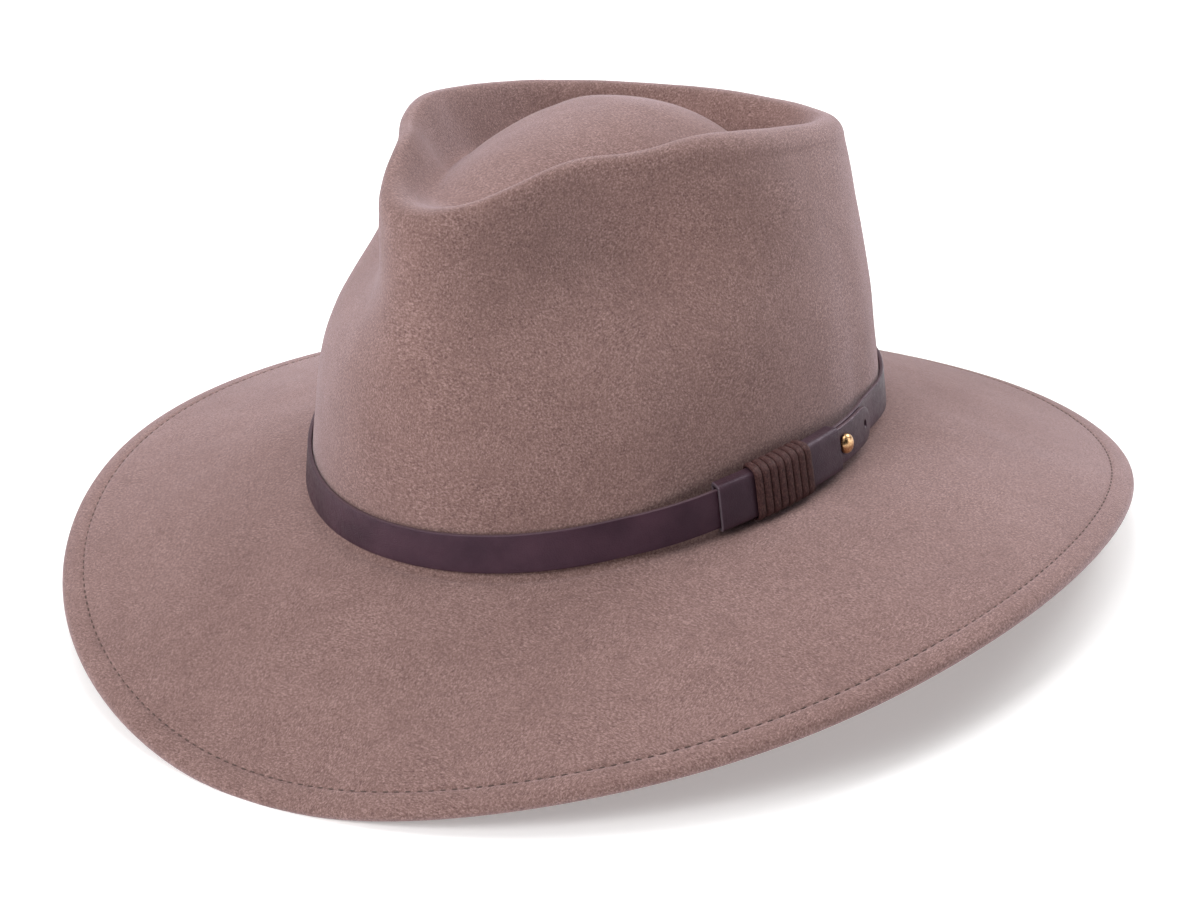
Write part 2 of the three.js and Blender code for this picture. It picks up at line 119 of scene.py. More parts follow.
STUD_NECK_RADIUS = 1.2
STUD_BASE_RADIUS = 2.8
STUD_BASE_THICKNESS = 0.8
STUD_HOLE_PLAY = 0.3
SPARE_HOLE_BEARING = 106.5
SPARE_HOLE_RADIUS = 1.1

# Unevenness of the skin
BROAD_WAVE_LENGTH = 34
BROAD_WAVE_HEIGHT = 0.55
SMALL_WAVE_LENGTH = 11
SMALL_WAVE_HEIGHT = 0.16
BAND_FREE_HEIGHTS = (18, 30)
BAND_FREE_REACH = (8, 20)
EDGE_FREE_REACH = (0, 26)

# Stitches of the turned-under edge
STITCH_LENGTH = 2.3
STITCH_GAP = 1.1
STITCH_THREAD_RADIUS = 0.24
STITCH_GROOVE_DEPTH = 0.35
STITCH_GROOVE_WIDTH = 0.6
STITCH_JITTER = 0.12
STITCH_SEED = 5
STITCH_SIDES = 6
STITCH_LINE_STEPS = 7200

# Nap
NAP_FIBRES = 42000
NAP_LENGTH = 0.6
NAP_WIDTH = 0.05
NAP_SINK = 0.1
NAP_SEED = 11

# Shape round half of the hat, a row for each 22.5 degrees from front to back:
# break rise, edge drop, brim reach, ridge reach, ridge rise, channel depth.
SECTIONS = [
    (0.0, 1.0, 0.972, 0.79, 0.936, 0.28),
    (0.16, 0.806, 0.979, 0.638, 0.981, 0.56),
    (0.62, 0.522, 1.007, 0.564, 0.971, 0.82),
    (1.0, 0.284, 1.021, 0.59, 0.951, 1.0),
    (1.0, 0.261, 0.991, 0.644, 0.936, 1.04),
    (0.74, 0.421, 0.984, 0.709, 0.907, 1.0),
    (0.43, 0.688, 0.996, 0.813, 0.864, 0.87),
    (0.13, 0.9, 0.999, 0.829, 0.84, 0.78),
    (0.0, 1.0, 1.013, 0.795, 0.843, 0.735),
]

# Fineness
BEARINGS = 256
STATIONS = {"dome": 40, "channel": 24, "shoulder": 14, "wall": 64, "break": 8, "brim": 44, "edge": 26}
NOSE_STEPS = 12
STRAP_STEPS = 420
TIP_STEPS = 12
KEEPER_OUTER_STEPS = 60
KEEPER_INNER_STEPS = 30

# Colours and gloss
FELT_DARK = (0.112, 0.062, 0.055)
FELT_MIDDLE = (0.226, 0.136, 0.122)
FELT_LIGHT = (0.4, 0.265, 0.246)
FELT_SHEEN = (0.97, 0.83, 0.93)
FELT_SHEEN_WEIGHT = 0.48
FELT_SHEEN_ROUGHNESS = 0.42
FELT_SPECULAR = 0.15
PATCH_SHARE = 0.09
BROAD_PATCH_SHARE = 0.07
NAP_SPECULAR = 0.1
NAP_LIGHT = (0.44, 0.32, 0.29)
THREAD_DARK = (0.06, 0.034, 0.029)
THREAD_LIGHT = (0.145, 0.09, 0.078)
STRAP_DARK = (0.031, 0.0115, 0.0185)
STRAP_LIGHT = (0.06, 0.0255, 0.037)
# Paler raw cut edge of the strap, which is also a painted highlight for the light its top edge catches
CUT_EDGE_AND_HIGHLIGHT = (0.13, 0.085, 0.095)
LEATHER_SPECULAR = 0.3
LEATHER_GLOSS = (0.9, 0.78, 1.0)
LACE_SPECULAR = 0.2
KEEPER_DARK = (0.028, 0.0115, 0.0175)
KEEPER_LIGHT = (0.053, 0.0245, 0.034)
KEEPER_CUT_EDGE = (0.15, 0.12, 0.14)
LACE_DARK = (0.026, 0.008, 0.009)
LACE_MIDDLE = (0.062, 0.023, 0.022)
LACE_LIGHT = (0.19, 0.1, 0.092)
BRASS_DARK = (0.42, 0.22, 0.1)
BRASS_LIGHT = (0.78, 0.5, 0.27)
FLOOR_GREY = 0.9

# Camera
CAMERA_AZIMUTH = 36.37
CAMERA_ELEVATION = 23.74
CAMERA_ROLL = -4.04
CAMERA_DISTANCE = 900.0
CAMERA_PIXELS_PER_MM = 3.19
CAMERA_SHIFT_RIGHT = -2.23
CAMERA_SHIFT_UP = 39.98
CAMERA_AIM_HEIGHT = 79.02
PHOTO_WIDTH = 1200
SENSOR_WIDTH = 36.0

# Light: sideways, nearer to the camera and upwards, then power in watts
SOFTBOX_SIZE = 1.0
SOFTBOX_DISTANCE = 2.0
SOFTBOX_AIM = (0, 0, 0.07)
SOFTBOXES = {
    "top": (0.0, 0.0, 1.0, 15.6),
    "left_low": (-1.0, 0.0, 0.3, 6.4),
    "right_high": (1.0, 0.0, 1.1, 1.1),
    "right_low": (1.0, 0.0, 0.3, 6.9),
    "front_high": (0.0, 1.0, 0.8, 2.2),
    "back_high": (0.0, -1.0, 1.5, 8.6),
    "back_left": (-1.0, -1.0, 1.4, 3.2),
    "back_right": (1.0, -1.0, 1.4, 29.0),
    "front_left": (-1.0, 1.0, 0.5, 27.7),
}
FLOOR_HALF = 6000.0

# The floor's glow grows between two distances in metres, from one strength to another
FLOOR_GLOW_RANGE = (1.0, 2.4, 0.3, 1.0)


# Shape of the felt


def through(column):
    """Even cosine curve through one column of the table, as a function of the bearing."""
    values = np.array([row[column] for row in SECTIONS])
    last = len(values) - 1
    index = np.arange(last + 1)
    halves = np.where((index == 0) | (index == last), 0.5, 1.0)
    weights = []
    for order in range(last + 1):
        total = np.sum(halves * values * np.cos(np.pi * index * order / last))
        weights.append((1 if order in (0, last) else 2) * total / last)

    def curve(bearing):
        turn = np.radians(bearing)
        return sum(weight * np.cos(order * turn) for order, weight in enumerate(weights))

    return curve


break_rise = through(0)
edge_drop = through(1)
brim_reach = through(2)
ridge_reach = through(3)
ridge_rise = through(4)
channel_share = through(5)


def lerp(start, end, share):
    return start + (end - start) * share


def smoothstep(value, low, high):
    share = np.clip((value - low) / (high - low), 0, 1)
    return share * share * (3 - 2 * share)


def oval_radius(bearing):
    along = np.abs(np.cos(np.radians(bearing))) / (HEAD_LENGTH / 2)
    across = np.abs(np.sin(np.radians(bearing))) / (HEAD_WIDTH / 2)
    return (along**OVAL_POWER + across**OVAL_POWER) ** (-1 / OVAL_POWER)


def plateau(bearing, start, end, span):
    rising = smoothstep(bearing, start - span, start)
    return rising * (1 - smoothstep(bearing, end, end + span))


def break_radius(bearing):
    dent = FASTENING_DENT * plateau(bearing, KEEPER_START_BEARING, STRAP_TIP_BEARING, DENT_FADE_DEGREES)
    return oval_radius(bearing) - dent


def break_height(bearing):
    return BREAK_SIDE_RISE * break_rise(bearing)


def edge_radius(bearing):
    return oval_radius(bearing) + BRIM_WIDTH * brim_reach(bearing)


def ridge_radius(bearing):
    return oval_radius(bearing) * ridge_reach(bearing)


def ridge_height(bearing):
    return break_height(bearing) + CROWN_HEIGHT * ridge_rise(bearing)


PART_SHIFT = (edge_radius(0.0) - edge_radius(180.0)) / 2


def place(bearing, radius, height, back=0.0):
    """Point in the part's frame, in millimetres."""
    turn = np.radians(bearing)
    x = radius * np.sin(turn)
    y = PART_SHIFT + back - radius * np.cos(turn)
    z = height - FLOOR_LEVEL + 0 * turn
    return np.stack(np.broadcast_arrays(x, y, z), axis=-1)


def place_inside(bearing, radius, height):
    back = DOME_SET_BACK * (1 - radius / ridge_radius(bearing))
    return place(bearing, radius, height, back)


def channel_floor(bearing):
    return ridge_height(bearing) - CHANNEL_DEPTH * channel_share(bearing)


def dome_point(bearing, share):
    radius = share * CHANNEL_PLACE * ridge_radius(bearing)
    rise = (1 - share**DOME_FULLNESS) ** DOME_FOOT
    return place_inside(bearing, radius, lerp(channel_floor(bearing), CROWN_HEIGHT - DOME_DROP, rise))


def channel_point(bearing, share):
    radius = ridge_radius(bearing) * lerp(CHANNEL_PLACE, 1, share)
    rise = 0.5 - 0.5 * math.cos(math.pi * share)
    return place_inside(bearing, radius, lerp(channel_floor(bearing), ridge_height(bearing), rise))


def dent_depth(bearing, share):
    """Depth of the dents at either side of the front, at a share of the wall's height."""
    from_front = np.degrees(np.arccos(np.cos(np.radians(bearing))))
    side = np.hypot(from_front, PINCH_CREST_DEGREES)
    across = np.exp(-(((side - PINCH_BEARING) / PINCH_SPREAD_DEGREES) ** 2))
    up = np.exp(-(((share - PINCH_LEVEL) / PINCH_REACH) ** 2))
    return PINCH_DEPTH * across * up


def shoulder_point(bearing, share):
    """The dents begin softly under the ridge."""
    turn = share * math.pi / 2
    begun = 1 - math.cos(turn) ** PINCH_START_POWER
    radius = ridge_radius(bearing) + SHOULDER_RADIUS * math.sin(turn) - begun * dent_depth(bearing, 1)
    return place(bearing, radius, ridge_height(bearing) - SHOULDER_RADIUS * (1 - math.cos(turn)))


def wall_radius(bearing, share):
    lean = WALL_STRAIGHT_SHARE * share + (1 - WALL_STRAIGHT_SHARE) * share**WALL_LEAN_POWER
    straight = lerp(break_radius(bearing), ridge_radius(bearing) + SHOULDER_RADIUS, lean)
    return straight - dent_depth(bearing, share)


def wall_point(bearing, share):
    low = break_height(bearing) + BREAK_RADIUS
    high = ridge_height(bearing) - SHOULDER_RADIUS
    return place(bearing, wall_radius(bearing, share), lerp(low, high, share))


def break_point(bearing, share):
    turn = share * math.pi / 2
    radius = break_radius(bearing) + BREAK_RADIUS * (1 - math.cos(turn))
    return place(bearing, radius, break_height(bearing) + BREAK_RADIUS * (1 - math.sin(turn)))


def brim_width_at(bearing):
    return edge_radius(bearing) - break_radius(bearing) - BREAK_RADIUS


def brim_point(bearing, share):
    radius = lerp(break_radius(bearing) + BREAK_RADIUS, edge_radius(bearing), share)
    edge = -BRIM_DROP * edge_drop(bearing)
    return place(bearing, radius, lerp(break_height(bearing), edge, share**BRIM_CURVE))


def brim_share_from_edge(bearing, distance):
    return 1 - distance / brim_width_at(bearing)


# Mesh helpers


def new_object(name, points, faces, material, smooth=True):
    """Object in metres from points in millimetres."""
    mesh = bpy.data.meshes.new(name)
    mesh.from_pydata((np.asarray(points) * MM).tolist(), [], faces)
    mesh.validate()
    mesh.update()
    if smooth:
        mesh.polygons.foreach_set("use_smooth", [True] * len(mesh.polygons))
    mesh.materials.append(material)
    piece = bpy.data.objects.new(name, mesh)
    bpy.context.scene.collection.objects.link(piece)
    return piece


def point_values(piece, name, values):
    """One number for each vertex, for the material to read."""
    attribute = piece.data.attributes.new(name, "FLOAT", "POINT")
    attribute.data.foreach_set("value", np.asarray(values, dtype=np.float32).ravel())


def dress(piece, slot, *nodes):
    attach(piece, "root")
    if nodes:
        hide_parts(*nodes)
    return piece


def ring_faces(rings, size):
    """Quads between rings of equal size, counted from the first point."""
    faces = []
    for row in range(rings - 1):
        for column in range(size):
            beside = (column + 1) % size
            near = row * size
            faces.append((near + column, near + size + column, near + size + beside, near + beside))
    return faces


# Felt


def outer_skin(bearing):
    """Rows of the outer skin from round the middle of the dome out to the rounded edge."""

    def shares(name):
        count = STATIONS[name]
        return [(index + 1) / count for index in range(count)]

    nose = brim_share_from_edge(bearing, WELT_THICKNESS / 2)
    edge_start = brim_share_from_edge(bearing, WELT_WIDTH + 4)
    rows = [dome_point(bearing, share) for share in shares("dome")]
    rows += [channel_point(bearing, share) for share in shares("channel")]
    rows += [shoulder_point(bearing, share) for share in shares("shoulder")]
    rows += [wall_point(bearing, 1 - share) for share in shares("wall")]
    rows += [break_point(bearing, share) for share in shares("break")]
    rows += [brim_point(bearing, share * edge_start) for share in shares("brim")]
    rows += [brim_point(bearing, lerp(edge_start, nose, share)) for share in shares("edge")]
    return np.array(rows)


def skin_directions(rows):
    """Unit directions along the skin towards the edge, and out of the felt."""
    along = np.empty_like(rows)
    along[1:-1] = rows[2:] - rows[:-2]
    along[0] = rows[1] - rows[0]
    along[-1] = rows[-1] - rows[-2]
    along /= np.linalg.norm(along, axis=2, keepdims=True)
    around = np.roll(rows, -1, axis=1) - np.roll(rows, 1, axis=1)
    out = np.cross(along, around)
    out /= np.linalg.norm(out, axis=2, keepdims=True)
    return along, out


def edge_distance(rows, bearing):
    """Distance in from the brim's edge, measured across, for each point of the skin."""
    centre = np.array([0, PART_SHIFT])
    radius = np.linalg.norm(rows[:, :, :2] - centre, axis=2)
    return edge_radius(bearing)[None, :] - radius


def band_height(rows, bearing):
    return rows[:, :, 2] + FLOOR_LEVEL - break_height(bearing)[None, :]


def handling_waves(rows, out, bearing):
    """Slight unevenness of a hat shaped by hand, none under the band and little at the edge."""
    flat = rows.reshape(-1, 3)
    broad = [noise.noise(Vector(point) / BROAD_WAVE_LENGTH) for point in flat]
    small = [noise.noise(Vector(point) / SMALL_WAVE_LENGTH + Vector((9, 4, 2))) for point in flat]
    waves = BROAD_WAVE_HEIGHT * np.array(broad) + SMALL_WAVE_HEIGHT * np.array(small)
    waves = waves.reshape(rows.shape[:2])
    height = band_height(rows, bearing)
    radius = np.linalg.norm(rows[:, :, :2] - np.array([0, PART_SHIFT]), axis=2)
    beside = np.abs(radius - break_radius(bearing)[None, :])
    by_band = (1 - smoothstep(height, *BAND_FREE_HEIGHTS)) * (1 - smoothstep(beside, *BAND_FREE_REACH))
    from_edge = edge_distance(rows, bearing)
    free = (1 - by_band) * smoothstep(from_edge, *EDGE_FREE_REACH)
    return rows + out * (waves * free)[:, :, None]


def stitch_groove(rows, out, bearing):
    """The stitches pull the felt in along a line, and the turned edge swells outside it."""
    from_edge = edge_distance(rows, bearing)
    on_brim = band_height(rows, bearing) < 1
    groove = np.exp(-(((from_edge - WELT_WIDTH) / STITCH_GROOVE_WIDTH) ** 2))
    swell = WELT_SWELL * np.exp(-(((from_edge - 0.55 * WELT_WIDTH) / WELT_SWELL_WIDTH) ** 2))
    return rows + out * ((swell - STITCH_GROOVE_DEPTH * groove) * on_brim)[:, :, None]


def felt_rows(bearing):
    """Outer rows, the rounded nose and the under rows."""
    outer = outer_skin(bearing)
    _, out = skin_directions(outer)
    outer = handling_waves(outer, out, bearing)
    along, out = skin_directions(outer)
    shaped = stitch_groove(outer, out, bearing)
    from_edge = edge_distance(outer, bearing)
    in_welt = smoothstep(-from_edge, -WELT_WIDTH - WELT_STEP, -WELT_WIDTH)
    thick = lerp(FELT, WELT_THICKNESS, in_welt)
    half = WELT_THICKNESS / 2
    nose = []
    for step in range(1, NOSE_STEPS):
        turn = math.pi * step / NOSE_STEPS
        nose.append(shaped[-1] + out[-1] * half * (math.cos(turn) - 1) + along[-1] * half * math.sin(turn))
    edge = STATIONS["edge"]
    finely = list(range(len(outer) - 1, len(outer) - 1 - edge, -1))
    coarsely = list(range(len(outer) - 1 - edge, 2, -2)) + [0]
    under = [outer[row] - out[row] * thick[row][:, None] for row in finely + coarsely]
    return shaped, np.array(nose), np.array(under)


def felt_body(material):
    bearing = np.arange(BEARINGS) * 360 / BEARINGS
    rows = np.concatenate(felt_rows(bearing))
    rows[:, :, 2] = np.maximum(rows[:, :, 2], 0)
    top = place(0.0, 0.0, CROWN_HEIGHT - DOME_DROP, DOME_SET_BACK)
    points = np.concatenate([[top], rows.reshape(-1, 3), [top - [0, 0, FELT]]])
    size = BEARINGS
    faces = [tuple(1 + corner for corner in face) for face in ring_faces(len(rows), size)]
    last = 1 + len(rows) * size
    for column in range(size):
        beside = (column + 1) % size
        faces.append((0, 1 + column, 1 + beside))
        faces.append((last, last - size + beside, last - size + column))
    piece = new_object("felt_skin", points, faces, material)
    return dress(piece, "felt", "felt_body")


def nap(material):
    """Short loose fibres over the skin, which soften its outline."""
    bearing = np.arange(BEARINGS) * 360 / BEARINGS
    rows = np.concatenate(felt_rows(bearing)[:2])
    rows[:, :, 2] = np.maximum(rows[:, :, 2], 0)
    along, normal = skin_directions(rows)
    corner = rows[:-1]
    across = np.roll(rows, -1, axis=1)[:-1] - corner
    down = rows[1:] - corner
    area = np.linalg.norm(np.cross(across, down), axis=2).ravel()
    rng = np.random.default_rng(NAP_SEED)
    picked = rng.choice(len(area), NAP_FIBRES, p=area / area.sum())
    share_across = rng.random(NAP_FIBRES)[:, None]
    share_down = rng.random(NAP_FIBRES)[:, None]
    root = corner.reshape(-1, 3)[picked] + across.reshape(-1, 3)[picked] * share_across
    root = root + down.reshape(-1, 3)[picked] * share_down
    up = normal[:-1].reshape(-1, 3)[picked]
    lay = along[:-1].reshape(-1, 3)[picked] * rng.normal(0.5, 0.6, (NAP_FIBRES, 1))
    lean = lay + rng.normal(0, 0.7, (NAP_FIBRES, 3))
    rise = rng.uniform(0.25, 1.0, (NAP_FIBRES, 1))
    heading = up * rise + lean * 0.6
    heading /= np.linalg.norm(heading, axis=1, keepdims=True)
    length = NAP_LENGTH * rng.uniform(0.4, 1.25, (NAP_FIBRES, 1))
    side = np.cross(heading, rng.normal(0, 1, (NAP_FIBRES, 3)))
    side /= np.linalg.norm(side, axis=1, keepdims=True)
    half = side * NAP_WIDTH / 2
    start = root - up * NAP_SINK
    tip = root + heading * length
    keep = tip[:, 2] > 0.05
    points = np.stack([start - half, start + half, tip], axis=1)[keep].reshape(-1, 3)
    faces = [(index, index + 1, index + 2) for index in range(0, len(points), 3)]
    piece = new_object("felt_nap", points, faces, material)
    return dress(piece, "felt")


def stitches(material):
    """Thread of the turned-under edge, a stitch above and one below in turn."""
    fine = np.arange(STITCH_LINE_STEPS) * 360 / STITCH_LINE_STEPS
    share = brim_share_from_edge(fine, WELT_WIDTH)
    line = np.stack([brim_point(b, s) for b, s in zip(fine, share)])
    step = np.linalg.norm(np.roll(line, -1, axis=0) - line, axis=1)
    travelled = np.concatenate([[0], np.cumsum(step)])
    count = round(travelled[-1] / (STITCH_LENGTH + STITCH_GAP))
    pitch = travelled[-1] / count
    turns = np.append(fine, 360)
    points = []
    faces = []
    random.seed(STITCH_SEED)
    for index in range(count):
        for below in (0, 1):
            start = pitch * (index + 0.5 * below) + random.uniform(-STITCH_JITTER, STITCH_JITTER)
            middle = float(np.interp(start + STITCH_LENGTH / 2, travelled, turns))
            add_stitch(points, faces, middle, below)
    piece = new_object("edge_stitches", points, faces, material)
    return dress(piece, "felt")


def add_stitch(points, faces, bearing, below):
    """One stitch: a thread that dips into the felt at either end."""
    shares = (-1, -0.8, -0.4, 0, 0.4, 0.8, 1)
    radius = edge_radius(bearing) - WELT_WIDTH
    half = math.degrees(STITCH_LENGTH / 2 / radius)
    begin = len(points)
    around = STITCH_SIDES
    for share in shares:
        at = bearing + share * half
        centre = brim_point(at, brim_share_from_edge(at, WELT_WIDTH))
        ahead = brim_point(at + 0.2, brim_share_from_edge(at + 0.2, WELT_WIDTH)) - centre
        outward = brim_point(at, brim_share_from_edge(at, WELT_WIDTH - 1)) - centre
        up = np.cross(outward, ahead)
        up /= np.linalg.norm(up)
        outward /= np.linalg.norm(outward)
        sink = STITCH_GROOVE_DEPTH - 0.1 + 0.55 * share**4
        if below:
            centre = centre - up * (FELT + 0.5 - sink)
        else:
            centre = centre - up * sink
        thickness = STITCH_THREAD_RADIUS * (1 - 0.35 * share**6)
        for corner in range(around):
            turn = 2 * math.pi * corner / around
            points.append(centre + thickness * (outward * math.cos(turn) + up * math.sin(turn)))
    for row in range(len(shares) - 1):
        for corner in range(around):
            beside = (corner + 1) % around
            near = begin + row * around
            faces.append((near + corner, near + beside, near + around + beside, near + around + corner))
    faces.append(tuple(begin + corner for corner in reversed(range(around))))
    end = begin + (len(shares) - 1) * around
    faces.append(tuple(end + corner for corner in range(around)))


# Leather band

STRAP_MIDDLE = STRAP_LIFT + STRAP_HEIGHT / 2
LAYER_PITCH = STRAP_THICKNESS + CLEARANCE
STAND_OFF = THONG_THICKNESS + KEEPER_WALL + 2 * CLEARANCE


def band_point(bearing, off, height):
    """Point beside the crown, by its distance off the felt and its height over the break."""
    high = ridge_height(bearing) - SHOULDER_RADIUS - break_height(bearing)
    share = max((height - BREAK_RADIUS) / (high - BREAK_RADIUS), 0)
    return place(bearing, wall_radius(bearing, share) + off, break_height(bearing) + height)


def inner_layer_off(bearing):
    settling = smoothstep(bearing, KEEPER_END_BEARING, KEEPER_END_BEARING + STRAP_SETTLE_DEGREES)
    return CLEARANCE + STAND_OFF * (1 - settling)


def strap_off(path):
    if path < 360:
        settled = path >= KEEPER_END_BEARING + STRAP_SETTLE_DEGREES
        return CLEARANCE if settled else inner_layer_off(path)
    bearing = path - 360
    rising = smoothstep(bearing, KEEPER_START_BEARING - STRAP_RISE_DEGREES, KEEPER_START_BEARING)
    outer_layer = inner_layer_off(max(bearing, KEEPER_START_BEARING)) + LAYER_PITCH
    return lerp(CLEARANCE, outer_layer, rising)


def rounded_section(low, high, near, far, radius, corner_steps=4, side_steps=6):
    """Rounded rectangle as (distance, height) pairs, anticlockwise from its lower near corner."""
    corners = [
        (near + radius, low + radius, 180),
        (far - radius, low + radius, 270),
        (far - radius, high - radius, 0),
        (near + radius, high - radius, 90),
    ]
    outline = []
    for index, (distance, height, start) in enumerate(corners):
        for step in range(corner_steps + 1):
            turn = math.radians(start + 90 * step / corner_steps)
            outline.append((distance + radius * math.cos(turn), height + radius * math.sin(turn)))
        following = corners[(index + 1) % 4]
        turn = math.radians(following[2])
        goal = (following[0] + radius * math.cos(turn), following[1] + radius * math.sin(turn))
        here = outline[-1]
        if index in (1, 3):
            for step in range(1, side_steps):
                share = step / side_steps
                outline.append((lerp(here[0], goal[0], share), lerp(here[1], goal[1], share)))
    return outline


def strap_loop(path, half_height):
    off = strap_off(path)
    far = off + STRAP_THICKNESS
    radius = min(STRAP_EDGE_RADIUS, 0.9 * half_height)
    low = STRAP_MIDDLE - half_height
    high = STRAP_MIDDLE + half_height
    outline = rounded_section(low, high, off, far, radius)
    return [band_point(path % 360, distance, height) for distance, height in outline]


def arc_degrees(length, bearing):
    radius = np.linalg.norm(band_point(bearing, 0, STRAP_MIDDLE)[:2] - [0, PART_SHIFT])
    return math.degrees(length / radius)


def swept_faces(rings, size):
    faces = ring_faces(rings, size)
    end = (rings - 1) * size
    faces.append(tuple(range(size)))
    faces.append(tuple(end + index for index in reversed(range(size))))
    return faces


def band_strap(material):
    tip = 360 + STRAP_TIP_BEARING
    tip_start = tip - arc_degrees(STRAP_TIP_LENGTH, STRAP_TIP_BEARING)
    full = STRAP_HEIGHT / 2
    paths = np.linspace(STRAP_INNER_BEARING, tip_start, STRAP_STEPS)
    loops = [strap_loop(path, full) for path in paths]
    for step in range(1, TIP_STEPS + 1):
        turn = math.pi / 2 * 0.97 * step / TIP_STEPS
        loops.append(strap_loop(lerp(tip_start, tip, math.sin(turn)), full * math.cos(turn)))
    size = len(loops[0])
    points = np.array(loops).reshape(-1, 3)
    piece = new_object("strap_leather", points, swept_faces(len(loops), size), material)
    heights = points[:, 2] + FLOOR_LEVEL - break_height(bearing_of(points))
    point_values(piece, "across", (heights - STRAP_MIDDLE) / full)
    inner = inner_layer_off(STUD_BEARING)
    stud_hole = STUD_NECK_RADIUS + STUD_HOLE_PLAY
    cut(piece, bore("stud_hole", STUD_BEARING, stud_hole, inner, inner + 2 * LAYER_PITCH))
    spare = inner_layer_off(SPARE_HOLE_BEARING) + LAYER_PITCH
    cut(piece, bore("spare_hole", SPARE_HOLE_BEARING, SPARE_HOLE_RADIUS, spare, spare + STRAP_THICKNESS))
    return dress(piece, "band_leather", "band_strap")


def bearing_of(points):
    return np.degrees(np.arctan2(points[:, 0], -(points[:, 1] - PART_SHIFT))) % 360


def seat(bearing, off):
    """Centre on the strap and the directions round, up and out there."""
    centre = band_point(bearing, off, STRAP_MIDDLE)
    around = band_point(bearing + 1, off, STRAP_MIDDLE) - centre
    around /= np.linalg.norm(around)
    up = band_point(bearing, off, STRAP_MIDDLE + 1) - centre
    up /= np.linalg.norm(up)
    out = np.cross(around, up)
    out /= np.linalg.norm(out)
    return centre, around, up, out


def turned(name, bearing, off, profile, steps, material):
    """Round piece about the direction out of the strap, from (radius, distance) pairs."""
    centre, around, up, out = seat(bearing, off)
    points = []
    for radius, distance in profile:
        for step in range(steps):
            turn = 2 * math.pi * step / steps
            sideways = around * math.cos(turn) + up * math.sin(turn)
            points.append(centre + out * distance + sideways * radius)
    faces = [tuple(reversed(face)) for face in ring_faces(len(profile), steps)]
    end = (len(profile) - 1) * steps
    faces.append(tuple(reversed(range(steps))))
    faces.append(tuple(end + step for step in range(steps)))
    return new_object(name, points, faces, material)


def bore(name, bearing, radius, start, end):
    profile = [(radius, start - 0.3), (radius, end + 0.3)]
    return turned(name, bearing, 0, profile, 32, bpy.data.materials.new("cutter"))


def cut(piece, cutter):
    """Cuts one object out of another for good."""
    modifier = piece.modifiers.new("cut", "BOOLEAN")
    modifier.operation = "DIFFERENCE"
    modifier.solver = "EXACT"
    modifier.object = cutter
    bpy.context.view_layer.update()
    graph = bpy.context.evaluated_depsgraph_get()
    made = bpy.data.meshes.new_from_object(piece.evaluated_get(graph))
    piece.modifiers.clear()
    piece.data = made
    bpy.data.objects.remove(cutter)


def fastening_section(bearing, grow):
    """Rounded rectangle round both strap layers, grown by a wall."""
    room = CLEARANCE + grow
    off = inner_layer_off(bearing) - room
    far = inner_layer_off(bearing) + LAYER_PITCH + STRAP_THICKNESS + room
    low = STRAP_LIFT - room
    high = STRAP_LIFT + STRAP_HEIGHT + room
    return rounded_section(low, high, off, far, KEEPER_CORNER + grow, 6, 8)


def keeper(material):
    """Leather sleeve with rounded end rims."""
    start = KEEPER_START_BEARING
    end = KEEPER_END_BEARING
    edge = KEEPER_EDGE_RADIUS
    rims = []
    for step in range(5):
        turn = math.pi / 2 * step / 4
        rims.append((edge * (1 - math.sin(turn)), KEEPER_WALL - edge * (1 - math.cos(turn))))
    outer = [(start + arc_degrees(d, start), grow) for d, grow in reversed(rims)]
    outer += [(b, KEEPER_WALL) for b in np.linspace(start + 0.5, end - 0.5, KEEPER_OUTER_STEPS)]
    outer += [(end - arc_degrees(d, end), grow) for d, grow in rims]
    inner = [(b, 0.0) for b in np.linspace(end - 0.5, start + 0.5, KEEPER_INNER_STEPS)]
    inner = [(end, 0.0)] + inner + [(start, 0.0)]
    rings = [
        [band_point(bearing, off, height) for off, height in fastening_section(bearing, grow)]
        for bearing, grow in outer + inner
    ]
    size = len(rings[0])
    count = len(rings)
    faces = ring_faces(count, size)
    for column in range(size):
        beside = (column + 1) % size
        last = (count - 1) * size
        faces.append((last + column, column, beside, last + beside))
    points = np.array(rings).reshape(-1, 3)
    piece = new_object("keeper_leather", points, faces, material)
    bearings = bearing_of(points)
    nearest = np.minimum(np.abs(bearings - start), np.abs(bearings - end))
    point_values(piece, "from_end", nearest)
    return dress(piece, "band_leather", "keeper")


def thong_wrap(material):
    """Lace wound side by side round the keeper, a little on the slant and uneven."""
    inside = KEEPER_WALL + CLEARANCE
    steps = THONG_STEPS
    count = THONG_TURNS * steps
    turns = [2 * math.pi * corner / THONG_SIDES for corner in range(THONG_SIDES)]
    section = [(math.cos(turn), math.sin(turn)) for turn in turns]
    loops = []
    along = []
    for index in range(count + 1):
        turn_share = (index % steps) / steps
        bearing = lerp(THONG_START_BEARING, THONG_END_BEARING, index / count)
        loop = []
        for sideways, depth in section:
            squared = math.copysign(abs(sideways) ** THONG_SQUARENESS, sideways)
            rough = 1 + THONG_WIDTH_CHANGE * noise.noise(Vector((index * 0.22, sideways * 2, depth * 2)))
            half = arc_degrees(THONG_WIDTH, bearing) / 2 * rough
            spot = bearing + squared * half
            uneven = 1 + THONG_LIFT_CHANGE * noise.noise(Vector((index * 0.3, sideways * 3, 7)))
            lift = 0.5 + 0.5 * depth * uneven
            off, height = winding_point(spot, inside + lift * THONG_THICKNESS, turn_share)
            slanted = spot - THONG_SLANT_DEGREES * (height - STRAP_MIDDLE) / STRAP_HEIGHT
            loop.append(band_point(slanted, off, height))
        loops.append(loop)
        along.append([index] * len(section))
    size = len(section)
    points = np.array(loops).reshape(-1, 3)
    faces = [tuple(reversed(face)) for face in swept_faces(len(loops), size)]
    piece = new_object("thong_lace", points, faces, material)
    lay_map(piece, points, np.array(along).ravel() / steps, size)
    return dress(piece, "thong_leather", "thong_wrap")


